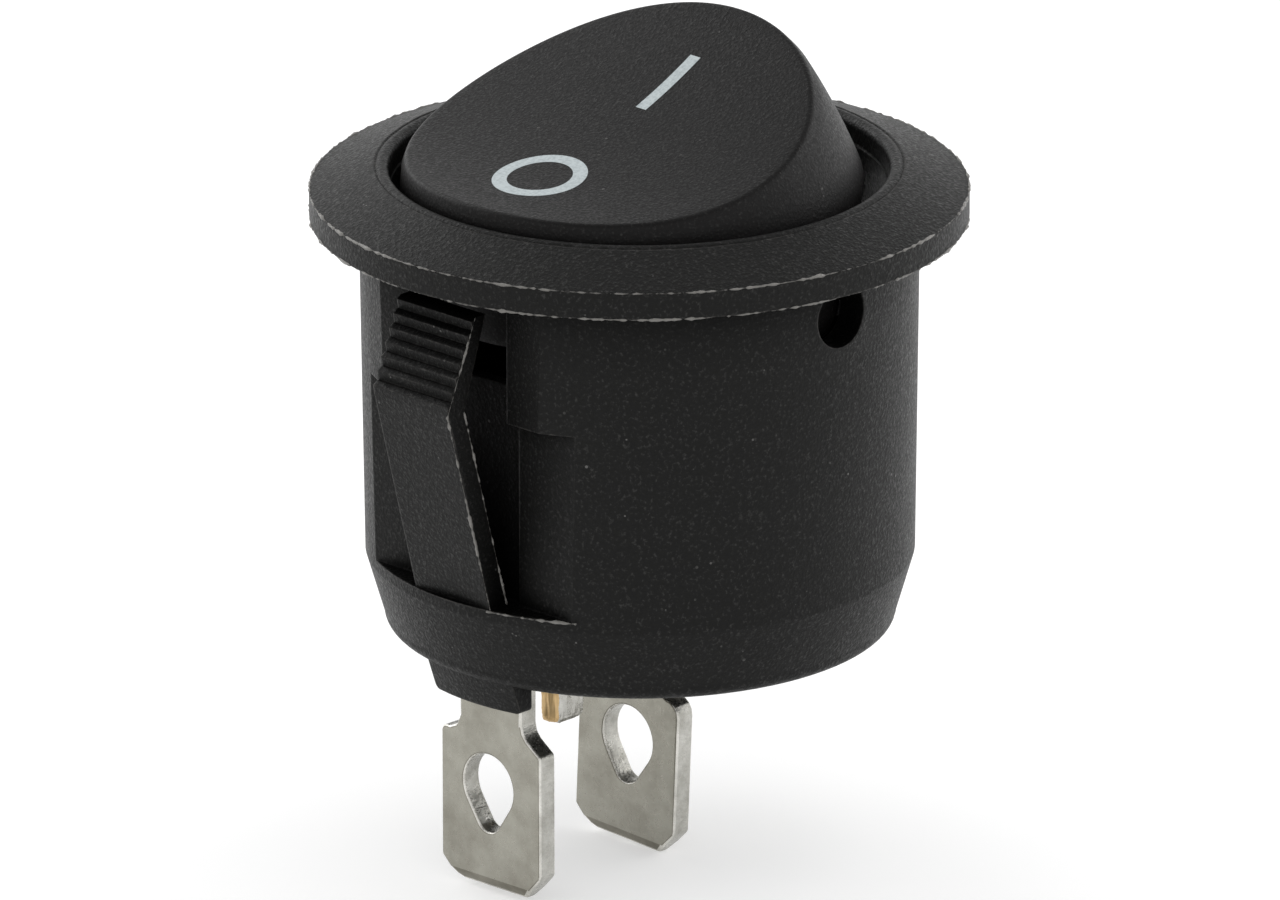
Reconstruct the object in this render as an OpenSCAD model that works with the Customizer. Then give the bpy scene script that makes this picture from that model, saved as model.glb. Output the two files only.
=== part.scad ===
// Round panel rocker switch, single pole, with two tab terminals.
// Millimetres. +Z points out of the panel, z = 0 is the panel's face under the bezel.
// +X points to the "I" end of the rocker, the rocker turns about Y.

/* [Bezel] */
// Outer diameter of the bezel
bezel_d = 23; // [21:0.1:26]
// Height of the bezel's upright edge
bezel_edge_h = 0.95; // [0.6:0.05:1.4]
// Height of the bezel's lip above the panel
lip_h = 1.85; // [1.5:0.05:2.6]
// Diameter of the round aperture the rocker works in
aperture_d = 17.4; // [17.1:0.1:18]
// Width of the rim that bears on the panel
seat_w = 0.6; // [0.4:0.05:0.8]
// Depth of the relief inside that rim
seat_relief = 0.15; // [0.1:0.05:0.3]

/* [Body] */
// Body diameter just under the bezel
body_d = 19.56; // [19:0.02:19.8]
// Body diameter where the lead-in taper starts
body_low_d = 19.2; // [18.8:0.1:19.5]
// Body diameter at the bottom
body_end_d = 17.9; // [17:0.1:18.5]
// Depth of the body below the panel face
body_depth = 14.93; // [14:0.01:18]
// Height of the lead-in taper
lead_h = 2.7; // [1.5:0.1:3.5]
// Thickness of the floor the terminals pass through
floor_t = 1.4; // [1:0.1:2]
// Depth of the rocker's well below the panel face
well_depth = 4.0; // [3.9:0.1:5]
// Depth that the tie wall behind the first terminal reaches below the floor
guard_h = 1.05; // [0.5:0.05:1.5]

/* [Snap wings] */
// Width of a wing
wing_w = 3.6; // [3:0.1:4.2]
// Thickness of a wing
wing_t = 0.82; // [0.7:0.02:1.1]
// Reach of a wing's ridge from the middle of the body
wing_reach = 11.45; // [10.8:0.05:11.8]
// Depth of the ridge below the panel face
ridge_depth = 4.26; // [3.5:0.05:5]
// Number of gripping teeth above the ridge
tooth_count = 7; // [4:1:9]
// Depth of the wing's root
wing_root_depth = 11.85; // [11:0.05:12.4]

/* [Rocker] */
// Height of the rocker's pivot above the panel face
pivot_z = -1.5; // [-1.8:0.05:-1.2]
// Tilt of the rocker either side of level
tilt = 16.5; // [12:0.5:16.5]
// Height of the rocker's face above the pivot, at its middle
face_h = 5.06; // [4.5:0.02:5.3]
// Radius of the dished face
dish_r = 21.3; // [18:0.1:40]
// Radius at which the side wall is widest
skirt_r = 8.56; // [8.3:0.02:8.6]
// Radius of the side wall's curve
skirt_curve_r = 25.4; // [20:0.1:35]
// Diameter of the pivot pins
pin_d = 2.2; // [1.8:0.05:2.3]

/* [Terminals] */
// Width of a tab
tab_w = 4.8; // [4.6:0.1:6.3]
// Thickness of a tab
tab_t = 0.8; // [0.6:0.05:0.9]
// Depth of the tab ends below the panel face
tab_depth = 23.1; // [22:0.1:26]
// Distance from the first tab to the common tab
tab_pitch = 7.0; // [6.7:0.05:7.2]
// Position of the common tab along X
common_x = -0.15; // [-0.3:0.05:0.3]
// Set of the common tab in its own plane, degrees
common_set = 3; // [0:0.5:4]
// Width of the neck above a tab
neck_w = 3.0; // [2.6:0.1:3.4]

/* [Mechanism] */
// Tilt of the seesaw either side of level
seesaw_tilt = 5.5; // [4:0.5:6]
// Rise of each seesaw arm from level
arm_rise = 11; // [8:0.5:11.5]
// Distance from the seesaw's pivot to its contact
contact_arm = 5.1; // [4.8:0.1:5.3]
// Thickness of the seesaw strip
strip_t = 0.5; // [0.4:0.05:0.6]
// Outer diameter of the plunger's spring
spring_d = 2.1; // [1.8:0.05:2.2]
// Spring wire diameter
wire_d = 0.26; // [0.2:0.02:0.32]

/* [Hidden] */
$fn = 96;
eps = 0.02;                                  // overlap of pieces that are one
run_gap = 0.05;                              // running clearance, radial
slot_gap = 0.03;                             // clearance of a strip in its slot
bezel_r = bezel_d / 2;
aperture_r = aperture_d / 2;
well_r = aperture_r - 0.05;
lip_bead_r = 0.28;
body_r = body_d / 2;
body_low_r = body_low_d / 2;
body_end_r = body_end_d / 2;
foot_r = 0.5;
floor_z = -body_depth + floor_t;
flat_up_x = 8.95;                            // shallow flat behind a wing
flat_low_x = 8.35;                           // deeper flat lower down
flat_step_z = -5.0;
slot_x = 8.1;                                // back of the slot behind a wing
slot_w = wing_w + 0.85;
wing_top_t = 0.5;                            // thickness of a wing at its top
tooth_top_z = -0.93;
tooth_top_x = wing_reach - 1.4;
tooth_pitch = (ridge_depth + tooth_top_z) / tooth_count;
tooth_step = (wing_reach - tooth_top_x) / tooth_count;
tooth_lean = 0.07;
root_x = 9.37;
pin_hole_d = pin_d + 2 * run_gap;
fixed_x = common_x - tab_pitch;
chamber_x1 = fixed_x - tab_t / 2 - 0.05;
chamber_x2 = 6.6;
chamber_y = 3.5;
chamber_wall = 1.1;
rib_x = 4.4;
// rocker, in its own frame with the pivot at its origin
skirt_z = 1.2;
skirt_centre_z = -2.62;
hollow_r = 6.8;
hollow_z = 3.6;
stem_d = 4.4;
stem_z = -6.6;
bore_d = 2.5;
bore_z = 1.0;
rib_t = 0.9;
ear_out = 8.3;
ear_in = 7.1;
ear_r = 1.45;
pin_end = 9.25;
// plunger and spring, in the rocker's frame
plunger_d = bore_d - 2 * run_gap;
plunger_top_z = -2.9;
nose_r = 0.7;
// seesaw
seesaw_x = common_x;
seesaw_z = -9.9;
ear_pin_r = 0.38;
arm_left = 6.3;
arm_right = 4.9;
strip_w = 3.0;
nose_gap = 0.15;
nose_z = seesaw_z + strip_t / 2 + nose_gap - pivot_z;
head_r = 1.2;
head_h = 0.6;
contact_gap = 0.03;
shank_r = 0.6;
closed_rise = arm_rise - seesaw_tilt;
closed_x = seesaw_x - contact_arm * cos(closed_rise) - (strip_t / 2 + head_h) * sin(closed_rise);
closed_z = seesaw_z + contact_arm * sin(closed_rise) - (strip_t / 2 + head_h) * cos(closed_rise);
fixed_top_z = closed_z - contact_gap - (head_r - 0.25) * sin(closed_rise);
plate_z = fixed_top_z - head_h;
// terminals
tab_len = tab_depth - body_depth;              // of a tab with its neck
shoulder_z = -body_depth - 0.3 * tab_len;
near_cut_y = 0.85;                           // corner cuts of a tab's end, -Y side
near_cut_z = 0.93;
far_cut_y = 0.65;                            // and +Y side
far_cut_z = 0.75;
set_z = -16.9;                               // level the common tab is set about
common_extra = 0.15;                         // extra reach of the common tab
fixed_eye_y = 0.12;                          // offset of the first tab's eye
eye_z = -tab_depth + 3.78;
eye_r = 1.17;
eye_low_z = eye_z - 1.13;
eye_low_r = 0.55;
lug_x = fixed_x + 3.21;
lug_w = 1.28;
lug_z = -17.7;
bracket_t = 0.8;
bracket_ear_y = 1.75;
bracket_ear_t = 0.65;

// Node to draw, or "all"

// ---------- helpers ----------

// Moves a thing from the rocker's frame into the row frame, with the O end down.
module in_rocker() {
    translate([0, 0, pivot_z])
        rotate([0, -tilt, 0])
            children();
}

// Moves a thing from the level seesaw's frame into the row frame, with the circuit open.
module in_seesaw() {
    translate([seesaw_x, 0, seesaw_z])
        rotate([0, seesaw_tilt, 0])
            children();
}

// ---------- housing ----------

// Half section of the bezel and body, before anything is cut out.
module shell_profile() {
    polygon([[0, -body_depth], [body_end_r - foot_r, -body_depth],
             [body_end_r - foot_r, -body_depth + foot_r], [body_end_r, -body_depth + foot_r],
             [body_low_r, -body_depth + lead_h], [body_r, seat_relief],
             [bezel_r - seat_w, seat_relief], [bezel_r - seat_w, 0], [bezel_r, 0],
             [bezel_r, bezel_edge_h], [aperture_r + 2 * lip_bead_r, lip_h - 0.06],
             [aperture_r + lip_bead_r, lip_h - lip_bead_r],
             [aperture_r, lip_h - lip_bead_r], [0, lip_h - lip_bead_r]]);
    translate([body_end_r - foot_r, -body_depth + foot_r])
        circle(r = foot_r, $fn = 48);
    translate([aperture_r + lip_bead_r, lip_h - lip_bead_r])
        circle(r = lip_bead_r, $fn = 48);
}

// One snap wing, reaching out towards -X.
module wing() {
    outer = [for (i = [0 : tooth_count - 1]) each [
        [-(wing_reach - i * tooth_step - tooth_lean), -ridge_depth + i * tooth_pitch],
        [-(wing_reach - i * tooth_step), -ridge_depth + (i + 1) * tooth_pitch - 0.12],
        [-(wing_reach - i * tooth_step - tooth_step), -ridge_depth + (i + 1) * tooth_pitch]]];
    translate([0, wing_w / 2, 0])
        rotate([90, 0, 0])
            linear_extrude(height = wing_w)
                polygon(concat(
                    [[-root_x, -wing_root_depth - 0.4], [-root_x, -wing_root_depth]],
                    outer,
                    [[-(tooth_top_x - wing_top_t), tooth_top_z],
                     [-(wing_reach - wing_t), -ridge_depth],
                     [-(root_x - wing_t), -wing_root_depth],
                     [-(root_x - wing_t), -wing_root_depth - 0.4]]));
}

// The room cut away behind a wing, on the -X side.
module wing_room() {
    far = bezel_r - seat_w;
    intersection() {
        translate([0, 0, -wing_root_depth])
            cylinder(r = far, h = wing_root_depth + seat_relief);
        union() {
            translate([-far, -far, flat_step_z])
                cube([far - flat_up_x, 2 * far, -flat_step_z + seat_relief]);
            translate([-far, -far, -wing_root_depth])
                cube([far - flat_low_x, 2 * far, wing_root_depth + flat_step_z]);
            translate([-far, -slot_w / 2, -wing_root_depth])
                cube([far - slot_x, slot_w, wing_root_depth - 0.5]);
        }
    }
}

// Wall under the floor that backs the first terminal.
module guard() {
    r = 0.2;
    w = 4.1;
    intersection() {
        translate([fixed_x - tab_t / 2 - 1.6, 0, 0])
            rotate([90, 0, 90])
                linear_extrude(height = 1.6 - slot_gap) {
                    translate([-w / 2, -body_depth - guard_h + r])
                        square([w, guard_h + 0.5 - r]);
                    translate([-w / 2 + r, -body_depth - guard_h])
                        square([w - 2 * r, guard_h]);
                    for (s = [-1, 1])
                        translate([s * (w / 2 - r), -body_depth - guard_h + r])
                            circle(r = r, $fn = 48);
                }
        translate([0, 0, -body_depth - guard_h - 0.01])
            cylinder(r1 = body_end_r - 0.6, r2 = body_end_r - 0.05, h = guard_h + 0.5);
    }
}

// Hollows of the housing.
module housing_hollows() {
    // well of the rocker and its aperture
    translate([0, 0, -well_depth])
        cylinder(r = well_r, h = well_depth + lip_h - lip_bead_r - 0.3);
    translate([0, 0, 1])
        cylinder(r = aperture_r, h = 2);
    // chamber of the mechanism
    translate([chamber_x1, -chamber_y, floor_z])
        cube([chamber_x2 - chamber_x1, 2 * chamber_y, 12]);
    // core-outs beside the chamber
    intersection() {
        translate([0, 0, floor_z + 0.6])
            cylinder(r = well_r - 0.35, h = 12);
        for (s = [-1, 1])
            translate([-5.6, s * (chamber_y + chamber_wall + 3) - 3, floor_z])
                cube([11.2, 6, 14]);
    }
    // pivot holes
    translate([0, 0, pivot_z])
        rotate([90, 0, 0])
            cylinder(d = pin_hole_d, h = 30, center = true);
    // slots of the terminals
    translate([fixed_x - tab_t / 2 - slot_gap, -neck_w / 2 - slot_gap, -body_depth - 1])
        cube([tab_t + 2 * slot_gap, neck_w + 2 * slot_gap, floor_t + 2]);
    in_common_tab()
        translate([-tab_t / 2 - slot_gap, -neck_w / 2 - slot_gap, -body_depth - 1])
            cube([tab_t + 2 * slot_gap, neck_w + 2 * slot_gap, floor_t + 2]);
    for (x = [lug_x, -lug_x])
        translate([x - tab_t / 2 - slot_gap, -lug_w / 2 - slot_gap, -body_depth - 1])
            cube([tab_t + 2 * slot_gap, lug_w + 2 * slot_gap, floor_t + 2]);
}

module housing() {
    color([0.13, 0.13, 0.13]) {
        difference() {
            rotate_extrude($fn = 180)
                shell_profile();
            wing_room();
            mirror([1, 0, 0])
                wing_room();
            housing_hollows();
        }
        wing();
        mirror([1, 0, 0])
            wing();
        guard();
        // stop rib under the seesaw's idle arm
        translate([rib_x, -1.5, floor_z - eps])
            cube([0.8, 3, stop_z() - floor_z + eps]);
    }
}

// Top of the stop rib, just clear of the arm that rests over it.
function stop_z() = seesaw_z - strip_t / 2 - 0.02
    + (rib_x - seesaw_x) * tan(arm_rise - seesaw_tilt);

// ---------- rocker ----------

module rocker() {
    color([0.12, 0.12, 0.12])
        in_rocker() {
            difference() {
                union() {
                    difference() {
                        rotate_extrude($fn = 180)
                            intersection() {
                                translate([skirt_r - skirt_curve_r, skirt_centre_z])
                                    circle(r = skirt_curve_r, $fn = 360);
                                translate([0, skirt_z])
                                    square([skirt_r + 1, 8]);
                            }
                        translate([0, 0, skirt_z - 1])
                            cylinder(r = hollow_r, h = hollow_z - skirt_z + 1);
                    }
                    // stem and the ribs that tie it to the side wall
                    translate([0, 0, stem_z])
                        cylinder(d = stem_d, h = hollow_z - stem_z + eps);
                    for (a = [0, 90])
                        rotate([0, 0, a])
                            translate([-hollow_r - 0.3, -rib_t / 2, skirt_z + 0.3])
                                cube([2 * hollow_r + 0.6, rib_t, hollow_z - skirt_z - 0.2]);
                    // ears with the pivot pins
                    for (s = [-1, 1])
                        mirror([0, s < 0 ? 1 : 0, 0])
                            ear();
                }
                // dished face
                translate([0, 0, face_h + dish_r])
                    rotate([90, 0, 0])
                        cylinder(r = dish_r, h = 40, center = true, $fn = 360);
                // bore of the plunger
                translate([0, 0, stem_z - 1])
                    cylinder(d = bore_d, h = bore_z - stem_z + 1);
            }
        }
}

// One ear with its pivot pin, on the +Y side.
module ear() {
    intersection() {
        union() {
            translate([0, ear_out, 0])
                rotate([90, 0, 0])
                    cylinder(r = ear_r, h = ear_out - ear_in);
            translate([-ear_r, ear_in, 0])
                cube([2 * ear_r, ear_out - ear_in, skirt_z + 0.6]);
        }
        translate([0, 0, -3])
            cylinder(r = well_r - 0.22, h = 6);
    }
    translate([0, pin_end - 0.3, 0])
        rotate([90, 0, 0])
            cylinder(d = pin_d, h = pin_end - 0.3 - ear_in - 0.2);
    translate([0, pin_end, 0])
        rotate([90, 0, 0])
            cylinder(d1 = pin_d - 0.5, d2 = pin_d, h = 0.3);
}

// ---------- plunger and spring ----------

module plunger() {
    color([0.86, 0.86, 0.82])
        in_rocker() {
            translate([0, 0, nose_z + nose_r])
                sphere(r = nose_r, $fn = 48);
            translate([0, 0, nose_z + nose_r])
                cylinder(r1 = nose_r, r2 = plunger_d / 2, h = 0.9);
            translate([0, 0, nose_z + nose_r + 0.9])
                cylinder(d = plunger_d, h = plunger_top_z - nose_z - nose_r - 0.9);
            // spigot inside the spring
            translate([0, 0, plunger_top_z - eps])
                cylinder(d = spring_d - 2 * wire_d - 0.2, h = 0.9);
        }
}

// Points of one coiled wire along +Z, from z0 up to z1.
function coil_points(turns, r, w, z0, z1, n, m) = [
    for (i = [0 : n]) let (a = 360 * turns * i / n,
                           f = i / n,
                           e = min(1, f * turns, (1 - f) * turns),
                           z = z0 + w / 2 + (z1 - z0 - w) * f)
        for (j = [0 : m - 1]) let (b = 360 * j / m)
            [(r + w / 2 * cos(b)) * cos(a), (r + w / 2 * cos(b)) * sin(a), z + w / 2 * sin(b)]];

module coil(turns, r, w, z0, z1) {
    n = ceil(turns * 20);
    m = 10;
    polyhedron(
        points = coil_points(turns, r, w, z0, z1, n, m),
        faces = concat(
            [[for (j = [0 : m - 1]) j]],
            [for (i = [0 : n - 1], j = [0 : m - 1])
                [i * m + j, (i + 1) * m + j, (i + 1) * m + (j + 1) % m, i * m + (j + 1) % m]],
            [[for (j = [0 : m - 1]) n * m + m - 1 - j]]));
}

module plunger_spring() {
    color([0.72, 0.73, 0.75])
        in_rocker()
            coil(8, (spring_d - wire_d) / 2, wire_d, plunger_top_z, bore_z);
}

// ---------- seesaw ----------

module seesaw_arm(length, side) {
    rotate([0, -side * arm_rise, 0])
        translate([side > 0 ? -0.05 : -length, -strip_w / 2, -strip_t / 2])
            cube([length + 0.05, strip_w, strip_t]);
}

module seesaw() {
    color([0.78, 0.60, 0.32])
        in_seesaw()
            difference() {
                union() {
                    seesaw_arm(arm_left, -1);
                    seesaw_arm(arm_right, 1);
                    // rounded tabs that rock in the bracket's notches
                    rotate([90, 0, 0])
                        cylinder(r = ear_pin_r, h = 2 * (bracket_ear_y + bracket_ear_t + 0.15), center = true,
                                 $fn = 48);
                }
                // hole of the contact's shank
                rotate([0, arm_rise, 0])
                    translate([-contact_arm, 0, -1])
                        cylinder(r = shank_r, h = 2, $fn = 48);
            }
}

module moving_contact() {
    color([0.83, 0.83, 0.82])
        in_seesaw()
            rotate([0, arm_rise, 0])
                translate([-contact_arm, 0, 0]) {
                    translate([0, 0, -strip_t / 2 - head_h])
                        cylinder(r1 = head_r - 0.25, r2 = head_r, h = 0.25, $fn = 64);
                    translate([0, 0, -strip_t / 2 - head_h + 0.25])
                        cylinder(r = head_r, h = head_h - 0.25, $fn = 64);
                    translate([0, 0, -strip_t / 2 - eps])
                        cylinder(r = shank_r, h = strip_t + eps, $fn = 48);
                    translate([0, 0, strip_t / 2])
                        cylinder(r1 = 0.9, r2 = 0.6, h = 0.25, $fn = 48);
                }
}

// ---------- terminals ----------

// Outline of a tab with its neck in Y and Z, from z = top down to the tip.
module tab_outline(top, deep, sloped) {
    w = tab_w / 2;
    n = neck_w / 2;
    s = shoulder_z - 0.13;
    c = 0.6;
    near = sloped
        ? [[-n, shoulder_z + 0.65], [-n - 0.06, shoulder_z + 0.4],
           [-n - 0.24, shoulder_z + 0.17], [-w, shoulder_z - 0.3]]
        : concat([[-n, shoulder_z + 0.34], [-n - 0.09, shoulder_z + 0.13]],
                 [for (a = [0 : 22.5 : 90]) [-w + c - c * sin(a), shoulder_z + 0.04 - c + c * cos(a)]]);
    polygon(concat(
        [[-n, top]],
        near,
        [[-w, -deep + near_cut_z], [-w + near_cut_y, -deep],
         [w - far_cut_y - 0.3, -deep], [w - far_cut_y, -deep + 0.12], [w, -deep + far_cut_z],
         [w, s - 0.15], [w - 0.15, s], [n + 0.5, s],
         [n + 0.15, s + 0.15], [n, s + 0.5], [n, top]]));
}

// Egg-shaped eye of a tab: two circles and the tangents between them.
module eye() {
    q = acos((eye_r - eye_low_r) / (eye_z - eye_low_z));
    translate([0, eye_z])
        circle(r = eye_r, $fn = 64);
    translate([0, eye_low_z])
        circle(r = eye_low_r, $fn = 48);
    polygon([[-eye_r * sin(q), eye_z - eye_r * cos(q)],
             [-eye_low_r * sin(q), eye_low_z - eye_low_r * cos(q)],
             [eye_low_r * sin(q), eye_low_z - eye_low_r * cos(q)],
             [eye_r * sin(q), eye_z - eye_r * cos(q)]]);
}

// A tab centred on x = 0, its faces square to X, its end bevelled.
module tab(top, deep, sloped, eye_y) {
    d = -deep;
    intersection() {
        translate([-tab_t / 2, 0, 0])
            rotate([90, 0, 90])
                linear_extrude(height = tab_t)
                    difference() {
                        tab_outline(top, deep, sloped);
                        translate([eye_y, 0])
                            eye();
                    }
        rotate([90, 0, 0])
            linear_extrude(height = 2 * tab_w, center = true)
                polygon([[-tab_t / 2, top + 1], [-tab_t / 2, d + 0.42],
                         [-tab_t / 2 + 0.2, d], [tab_t / 2 - 0.2, d],
                         [tab_t / 2, d + 0.42], [tab_t / 2, top + 1]]);
    }
}

// Moves a thing from the first tab's upright stance to the common tab's own.
module in_common_tab() {
    translate([common_x, 0, set_z])
        rotate([common_set, 0, 0])
            translate([0, 0, -set_z])
                children();
}

// Short lug that passes the floor and is twisted a quarter turn to lock there.
module lug(x, top, bottom) {
    h = 0.12;
    translate([x - tab_t / 2, -lug_w / 2, -body_depth])
        cube([tab_t, lug_w, top + body_depth]);
    for (i = [1 : 4])
        translate([x, 0, -body_depth - i * h])
            rotate([0, 0, i * 90 / 5])
                translate([-tab_t / 2, -lug_w / 2, 0])
                    cube([tab_t, lug_w, h + 0.01]);
    translate([x - lug_w / 2, -tab_t / 2, bottom])
        cube([lug_w, tab_t, -body_depth - 4 * h - bottom + 0.01]);
}

module fixed_terminal() {
    color([0.70, 0.69, 0.65])
        difference() {
            union() {
                translate([fixed_x, 0, 0])
                    tab(floor_z + eps, tab_depth, true, fixed_eye_y);
                // wider upright standing on the floor
                translate([fixed_x - tab_t / 2, -2, floor_z])
                    cube([tab_t, 4, plate_z - floor_z]);
                // contact plate
                translate([fixed_x - tab_t / 2, -1.7, plate_z - tab_t])
                    cube([lug_x + tab_t / 2 - fixed_x + tab_t / 2, 3.4, tab_t]);
                lug(lug_x, plate_z - eps, lug_z);
            }
            translate([closed_x, 0, plate_z - 2])
                cylinder(r = shank_r, h = 3, $fn = 48);
        }
}

module fixed_contact() {
    color([0.83, 0.83, 0.82])
        translate([closed_x, 0, plate_z]) {
            cylinder(r = head_r + 0.1, h = head_h - 0.2, $fn = 64);
            translate([0, 0, head_h - 0.2 - 0.001])
                cylinder(r1 = head_r + 0.1, r2 = head_r - 0.2, h = 0.2, $fn = 64);
            translate([0, 0, -tab_t])
                cylinder(r = shank_r, h = tab_t + eps, $fn = 48);
            translate([0, 0, -tab_t - 0.3])
                cylinder(r1 = 0.65, r2 = 0.95, h = 0.3, $fn = 48);
        }
}

// Bracket of the common terminal with its two notched ears.
module common_terminal() {
    ear_h = seesaw_z - floor_z + 0.25;
    color([0.70, 0.69, 0.65])
        difference() {
            union() {
                in_common_tab()
                    tab(floor_z + 0.3, tab_depth + common_extra, false, 0);
                // base plate lying on the floor
                translate([common_x - 1.6, -bracket_ear_y - bracket_ear_t, floor_z])
                    cube([3.2, 2 * (bracket_ear_y + bracket_ear_t), bracket_t]);
                translate([common_x, -1.2, floor_z])
                    cube([-lug_x + tab_t / 2 - common_x, 2.4, bracket_t]);
                lug(-lug_x, floor_z + bracket_t - eps, -body_depth - 0.9);
                for (s = [-1, 1])
                    translate([common_x - 1.3, s > 0 ? bracket_ear_y : -bracket_ear_y - bracket_ear_t, floor_z])
                        cube([2.6, bracket_ear_t, ear_h]);
            }
            // round-bottomed notches the seesaw rocks in
            translate([seesaw_x, 0, seesaw_z])
                rotate([90, 0, 0])
                    cylinder(r = ear_pin_r + run_gap, h = 10, center = true, $fn = 48);
            translate([seesaw_x - ear_pin_r - run_gap, -5, seesaw_z])
                cube([2 * (ear_pin_r + run_gap), 10, 2]);
        }
}

housing();
rocker();
plunger();
plunger_spring();
seesaw();
moving_contact();
common_terminal();
fixed_terminal();
fixed_contact();
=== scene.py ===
"""Looks and studio of a round panel rocker switch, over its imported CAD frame.

Lengths are in metres unless a name ends in _mm. The frame is the CAD's own: z = 0 is
the panel's face, +Z comes out of the panel and +X points to the rocker's I end.
"""

import logging
import math
from collections.abc import Callable, Iterator, Sequence
from contextlib import contextmanager
from dataclasses import dataclass
from enum import Enum
from functools import partial

import bmesh
import bpy
from mathutils import Matrix, Vector, noise


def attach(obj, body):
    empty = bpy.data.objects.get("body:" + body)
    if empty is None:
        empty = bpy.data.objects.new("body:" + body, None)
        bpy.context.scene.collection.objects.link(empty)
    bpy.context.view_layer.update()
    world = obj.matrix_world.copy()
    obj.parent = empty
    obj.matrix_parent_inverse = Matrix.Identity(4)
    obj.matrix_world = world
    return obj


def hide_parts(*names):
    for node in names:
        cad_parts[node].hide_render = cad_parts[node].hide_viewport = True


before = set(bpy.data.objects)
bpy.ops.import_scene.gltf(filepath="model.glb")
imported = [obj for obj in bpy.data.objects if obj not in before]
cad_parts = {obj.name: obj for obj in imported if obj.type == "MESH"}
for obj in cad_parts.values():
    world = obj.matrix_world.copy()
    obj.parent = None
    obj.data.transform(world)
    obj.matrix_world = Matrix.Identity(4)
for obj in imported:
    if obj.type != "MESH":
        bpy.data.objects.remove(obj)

MM = 0.001
# points nearer than this are one
MERGE = 0.0005 * MM
# faces that turn by less than this lie in one plane
COPLANAR = math.radians(1.0)
WHITE = (1.0, 1.0, 1.0, 1.0)
log = logging.getLogger("rocker_switch")


# -------------------------------- colour and nodes


def linear(hex_colour: str) -> tuple[float, float, float, float]:
    """Turns an sRGB hex colour into linear RGBA.

    Args:
        hex_colour: six hex digits after a #.

    Returns:
        The linear colour with alpha 1.
    """
    out = []
    for i in (1, 3, 5):
        c = int(hex_colour[i : i + 2], 16) / 255
        out.append(c / 12.92 if c <= 0.04045 else ((c + 0.055) / 1.055) ** 2.4)
    return out[0], out[1], out[2], 1.0


def add_node(
    tree: bpy.types.NodeTree,
    kind: str,
    settings: dict[str, object] | None = None,
    inputs: dict[str | int, object] | None = None,
) -> bpy.types.Node:
    """Adds one node with its settings, constants and links.

    Args:
        tree: the node tree it goes into.
        kind: the node's type without "ShaderNode", such as "Bump".
        settings: attributes set on the node itself.
        inputs: socket name or number to a constant, or to what feeds it: an output
            socket, or a node, which stands for its first output.

    Returns:
        The new node.
    """
    made = tree.nodes.new("ShaderNode" + kind)
    for key, value in (settings or {}).items():
        setattr(made, key, value)
    for key, value in (inputs or {}).items():
        if isinstance(value, bpy.types.Node):
            value = value.outputs[0]
        if isinstance(value, bpy.types.NodeSocket):
            tree.links.new(value, made.inputs[key])
        else:
            made.inputs[key].default_value = value
    return made


def new_material(name: str) -> bpy.types.Material:
    """Makes an empty node material.

    Args:
        name: its name.

    Returns:
        The material, without a node.
    """
    material = bpy.data.materials.new(name)
    material.use_nodes = True
    material.node_tree.nodes.clear()
    return material


# -------------------------------- finishes


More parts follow.
